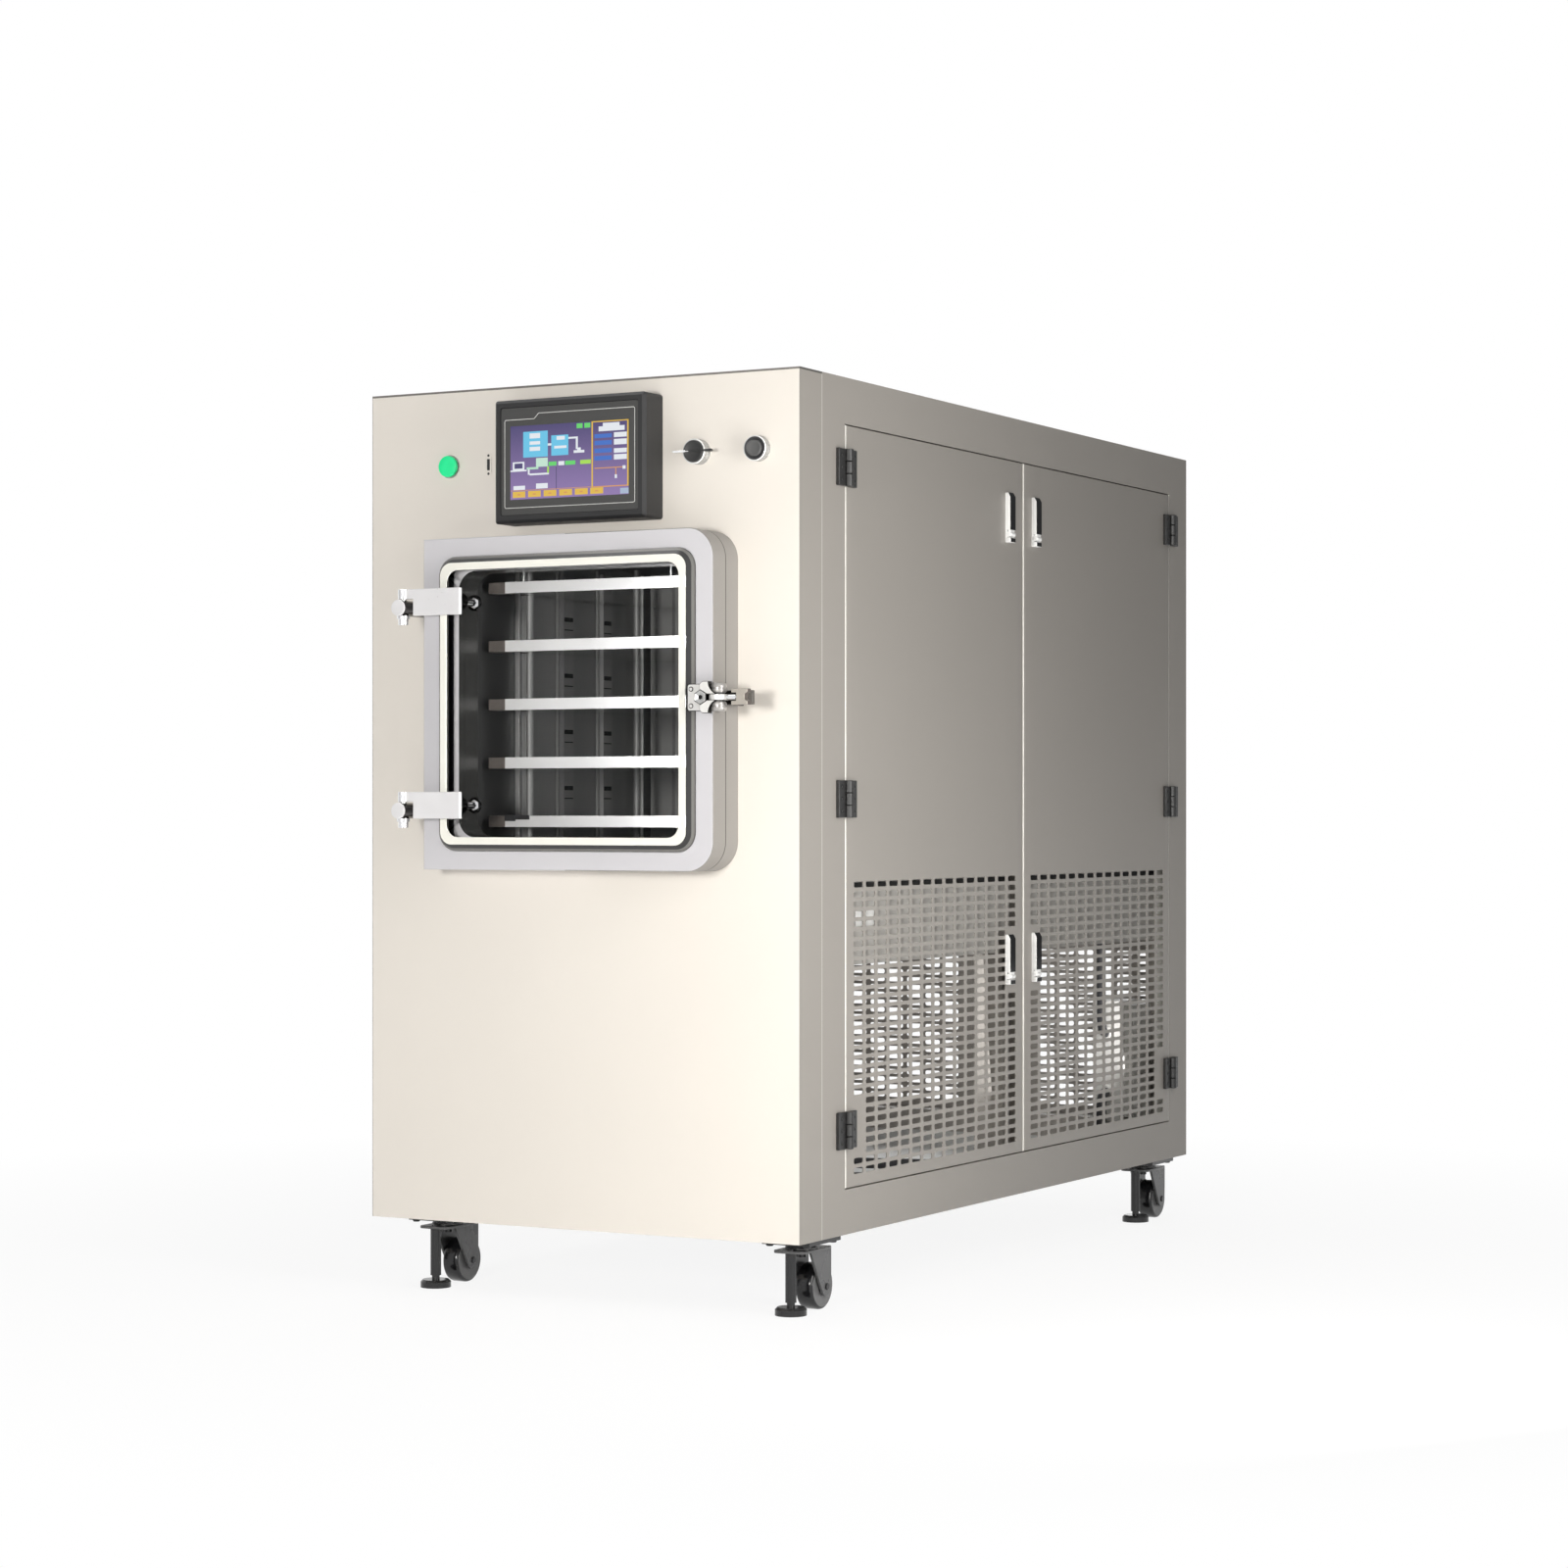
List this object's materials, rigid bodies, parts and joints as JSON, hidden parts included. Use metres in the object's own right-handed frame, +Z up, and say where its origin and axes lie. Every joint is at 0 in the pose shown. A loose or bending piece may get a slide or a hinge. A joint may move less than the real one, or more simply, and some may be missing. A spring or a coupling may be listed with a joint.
{
  "type": "freeze dryer",
  "caption": "Floor-standing pilot freeze dryer: shelf chamber with a hinged window door, touch panel, switches, slotted service doors and levelling casters.",
  "frame": {"origin": "bottom centre of the object's box, on the floor", "axes": "+Z up, the chamber door faces -Y, +X is the operator's right"},
  "size_m": [0.678, 1.403, 1.2],
  "materials": {
    "cabinet_metal": "satin",
    "frame_metal": "satin",
    "door_metal": "satin",
    "chamber_steel": "polished",
    "shelf_metal": "satin",
    "bright_chrome": "polished",
    "clear_pane": "clear",
    "cream_ring": "satin",
    "silicone": "matte",
    "panel_grey": "matte",
    "screen_glass": "glossy",
    "green_plastic": "glossy",
    "black_plastic": "satin",
    "black_metal": "satin",
    "wheel_black": "satin",
    "zinc": "satin",
    "pump_grey": "satin",
    "compressor_black": "satin"
  },
  "bodies": {
    "cabinet": {"frame_uprights": "frame_metal", "frame_rails": "cabinet_metal", "base_pan": "frame_metal", "equipment_deck": "frame_metal", "front_fascia": "cabinet_metal", "top_cover": "cabinet_metal", "rear_cover": "cabinet_metal", "chamber_flange": "door_metal", "chamber_seal": "silicone", "chamber_body": "chamber_steel", "shelves": "shelf_metal", "shelf_posts": "bright_chrome", "rear_baffle": "chamber_steel", "hinge_posts": "bright_chrome", "latch_keeper": "bright_chrome", "hmi_housing": "panel_grey", "hmi_screen": "screen_glass", "usb_port": "black_plastic", "switch_collars": "bright_chrome", "hinge_leaves": "black_metal", "cold_trap": "chamber_steel", "vacuum_pump": "pump_grey", "compressor": "compressor_black", "condenser": "zinc", "electrical_box": "black_metal", "caster_plates": "black_metal"},
    "chamber_door": {"door_frame": "door_metal", "window_pane": "clear_pane", "window_ring": "cream_ring", "hinge_arms": "bright_chrome", "latch_plate": "bright_chrome"},
    "latch_rod": {"latch_rod": "bright_chrome"},
    "green_button": {"green_button": "green_plastic"},
    "black_button": {"black_button": "black_plastic"},
    "selector": {"selector_lever": "black_plastic"},
    "fan": {"condenser_fan": "black_plastic"},
    "door_right_front": {"side_door_right_front": "cabinet_metal"},
    "lever_right_front_upper": {"lever_right_front_upper": "bright_chrome"},
    "lever_right_front_lower": {"lever_right_front_lower": "bright_chrome"},
    "door_right_rear": {"side_door_right_rear": "cabinet_metal"},
    "lever_right_rear_upper": {"lever_right_rear_upper": "bright_chrome"},
    "lever_right_rear_lower": {"lever_right_rear_lower": "bright_chrome"},
    "door_left_front": {"side_door_left_front": "cabinet_metal"},
    "lever_left_front_upper": {"lever_left_front_upper": "bright_chrome"},
    "lever_left_front_lower": {"lever_left_front_lower": "bright_chrome"},
    "door_left_rear": {"side_door_left_rear": "cabinet_metal"},
    "lever_left_rear_upper": {"lever_left_rear_upper": "bright_chrome"},
    "lever_left_rear_lower": {"lever_left_rear_lower": "bright_chrome"},
    "fork_front_left": {"caster_fork_front_left": "black_metal"},
    "wheel_front_left": {"caster_wheel_front_left": "wheel_black"},
    "foot_front_left": {"levelling_foot_front_left": "black_metal"},
    "fork_front_right": {"caster_fork_front_right": "black_metal"},
    "wheel_front_right": {"caster_wheel_front_right": "wheel_black"},
    "foot_front_right": {"levelling_foot_front_right": "black_metal"},
    "fork_rear_left": {"caster_fork_rear_left": "black_metal"},
    "wheel_rear_left": {"caster_wheel_rear_left": "wheel_black"},
    "foot_rear_left": {"levelling_foot_rear_left": "black_metal"},
    "fork_rear_right": {"caster_fork_rear_right": "black_metal"},
    "wheel_rear_right": {"caster_wheel_rear_right": "wheel_black"},
    "foot_rear_right": {"levelling_foot_rear_right": "black_metal"}
  },
  "joints": [
    {"name": "chamber_door_hinge", "type": "hinge", "parent": "cabinet", "child": "chamber_door", "pos_m": [-0.214, -0.6885, 0.781], "axis": [0, 0, -1], "range_deg": [0, 110]},
    {"name": "latch_rod_swing", "type": "hinge", "parent": "chamber_door", "child": "latch_rod", "pos_m": [0.252, -0.6725, 0.783], "axis": [0, 0, -1], "range_deg": [0, 90]},
    {"name": "green_button_press", "type": "slide", "parent": "cabinet", "child": "green_button", "axis": [0, 1, 0], "range_m": [0, 0.0025], "stiffness_N_per_m": 800, "springref_m": -0.001},
    {"name": "black_button_press", "type": "slide", "parent": "cabinet", "child": "black_button", "axis": [0, 1, 0], "range_m": [0, 0.0035], "stiffness_N_per_m": 800, "springref_m": -0.001},
    {"name": "selector_turn", "type": "hinge", "parent": "cabinet", "child": "selector", "pos_m": [0.182, -0.6145, 1.099], "axis": [0, -1, 0], "range_deg": [-45, 45]},
    {"name": "fan_spin", "type": "hinge", "parent": "cabinet", "child": "fan", "pos_m": [-0.202, 0.3935, 0.245], "axis": [1, 0, 0], "continuous": true},
    {"name": "door_right_front_hinge", "type": "hinge", "parent": "cabinet", "child": "door_right_front", "pos_m": [0.333, -0.4758, 0.647], "axis": [0, 0, -1], "range_deg": [0, 120]},
    {"name": "lever_right_front_upper_pull", "type": "hinge", "parent": "door_right_front", "child": "lever_right_front_upper", "pos_m": [0.3325, 0.0252, 1.033], "axis": [0, 1, 0], "range_deg": [0, 35], "stiffness_Nm_per_rad": 0.06, "springref_deg": -17.19},
    {"name": "lever_right_front_lower_pull", "type": "hinge", "parent": "door_right_front", "child": "lever_right_front_lower", "pos_m": [0.3325, 0.0252, 0.407], "axis": [0, 1, 0], "range_deg": [0, 35], "stiffness_Nm_per_rad": 0.06, "springref_deg": -17.19},
    {"name": "door_right_rear_hinge", "type": "hinge", "parent": "cabinet", "child": "door_right_rear", "pos_m": [0.333, 0.6302, 0.647], "axis": [0, 0, 1], "range_deg": [0, 120]},
    {"name": "lever_right_rear_upper_pull", "type": "hinge", "parent": "door_right_rear", "child": "lever_right_rear_upper", "pos_m": [0.3325, 0.1152, 1.033], "axis": [0, 1, 0], "range_deg": [0, 35], "stiffness_Nm_per_rad": 0.06, "springref_deg": -17.19},
    {"name": "lever_right_rear_lower_pull", "type": "hinge", "parent": "door_right_rear", "child": "lever_right_rear_lower", "pos_m": [0.3325, 0.1152, 0.407], "axis": [0, 1, 0], "range_deg": [0, 35], "stiffness_Nm_per_rad": 0.06, "springref_deg": -17.19},
    {"name": "door_left_front_hinge", "type": "hinge", "parent": "cabinet", "child": "door_left_front", "pos_m": [-0.333, -0.4758, 0.647], "axis": [0, 0, 1], "range_deg": [0, 120]},
    {"name": "lever_left_front_upper_pull", "type": "hinge", "parent": "door_left_front", "child": "lever_left_front_upper", "pos_m": [-0.3325, 0.0252, 1.033], "axis": [0, -1, 0], "range_deg": [0, 35], "stiffness_Nm_per_rad": 0.06, "springref_deg": -17.19},
    {"name": "lever_left_front_lower_pull", "type": "hinge", "parent": "door_left_front", "child": "lever_left_front_lower", "pos_m": [-0.3325, 0.0252, 0.407], "axis": [0, -1, 0], "range_deg": [0, 35], "stiffness_Nm_per_rad": 0.06, "springref_deg": -17.19},
    {"name": "door_left_rear_hinge", "type": "hinge", "parent": "cabinet", "child": "door_left_rear", "pos_m": [-0.333, 0.6302, 0.647], "axis": [0, 0, -1], "range_deg": [0, 120]},
    {"name": "lever_left_rear_upper_pull", "type": "hinge", "parent": "door_left_rear", "child": "lever_left_rear_upper", "pos_m": [-0.3325, 0.1152, 1.033], "axis": [0, -1, 0], "range_deg": [0, 35], "stiffness_Nm_per_rad": 0.06, "springref_deg": -17.19},
    {"name": "lever_left_rear_lower_pull", "type": "hinge", "parent": "door_left_rear", "child": "lever_left_rear_lower", "pos_m": [-0.3325, 0.1152, 0.407], "axis": [0, -1, 0], "range_deg": [0, 35], "stiffness_Nm_per_rad": 0.06, "springref_deg": -17.19},
    {"name": "fork_front_left_swivel", "type": "hinge", "parent": "cabinet", "child": "fork_front_left", "pos_m": [-0.2515, -0.53, 0.08], "axis": [0, 0, 1], "continuous": true},
    {"name": "wheel_front_left_roll", "type": "hinge", "parent": "fork_front_left", "child": "wheel_front_left", "pos_m": [-0.2515, -0.4955, 0.03], "axis": [1, 0, 0], "continuous": true},
    {"name": "foot_front_left_level", "type": "slide", "parent": "fork_front_left", "child": "foot_front_left", "axis": [0, 0, -1], "range_m": [0, 0.01]},
    {"name": "fork_front_right_swivel", "type": "hinge", "parent": "cabinet", "child": "fork_front_right", "pos_m": [0.2925, -0.53, 0.08], "axis": [0, 0, 1], "continuous": true},
    {"name": "wheel_front_right_roll", "type": "hinge", "parent": "fork_front_right", "child": "wheel_front_right", "pos_m": [0.2925, -0.4955, 0.03], "axis": [1, 0, 0], "continuous": true},
    {"name": "foot_front_right_level", "type": "slide", "parent": "fork_front_right", "child": "foot_front_right", "axis": [0, 0, -1], "range_m": [0, 0.01]},
    {"name": "fork_rear_left_swivel", "type": "hinge", "parent": "cabinet", "child": "fork_rear_left", "pos_m": [-0.2515, 0.604, 0.08], "axis": [0, 0, 1], "continuous": true},
    {"name": "wheel_rear_left_roll", "type": "hinge", "parent": "fork_rear_left", "child": "wheel_rear_left", "pos_m": [-0.2515, 0.6385, 0.03], "axis": [1, 0, 0], "continuous": true},
    {"name": "foot_rear_left_level", "type": "slide", "parent": "fork_rear_left", "child": "foot_rear_left", "axis": [0, 0, -1], "range_m": [0, 0.01]},
    {"name": "fork_rear_right_swivel", "type": "hinge", "parent": "cabinet", "child": "fork_rear_right", "pos_m": [0.2925, 0.604, 0.08], "axis": [0, 0, 1], "continuous": true},
    {"name": "wheel_rear_right_roll", "type": "hinge", "parent": "fork_rear_right", "child": "wheel_rear_right", "pos_m": [0.2925, 0.6385, 0.03], "axis": [1, 0, 0], "continuous": true},
    {"name": "foot_rear_right_level", "type": "slide", "parent": "fork_rear_right", "child": "foot_rear_right", "axis": [0, 0, -1], "range_m": [0, 0.01]}
  ]
}
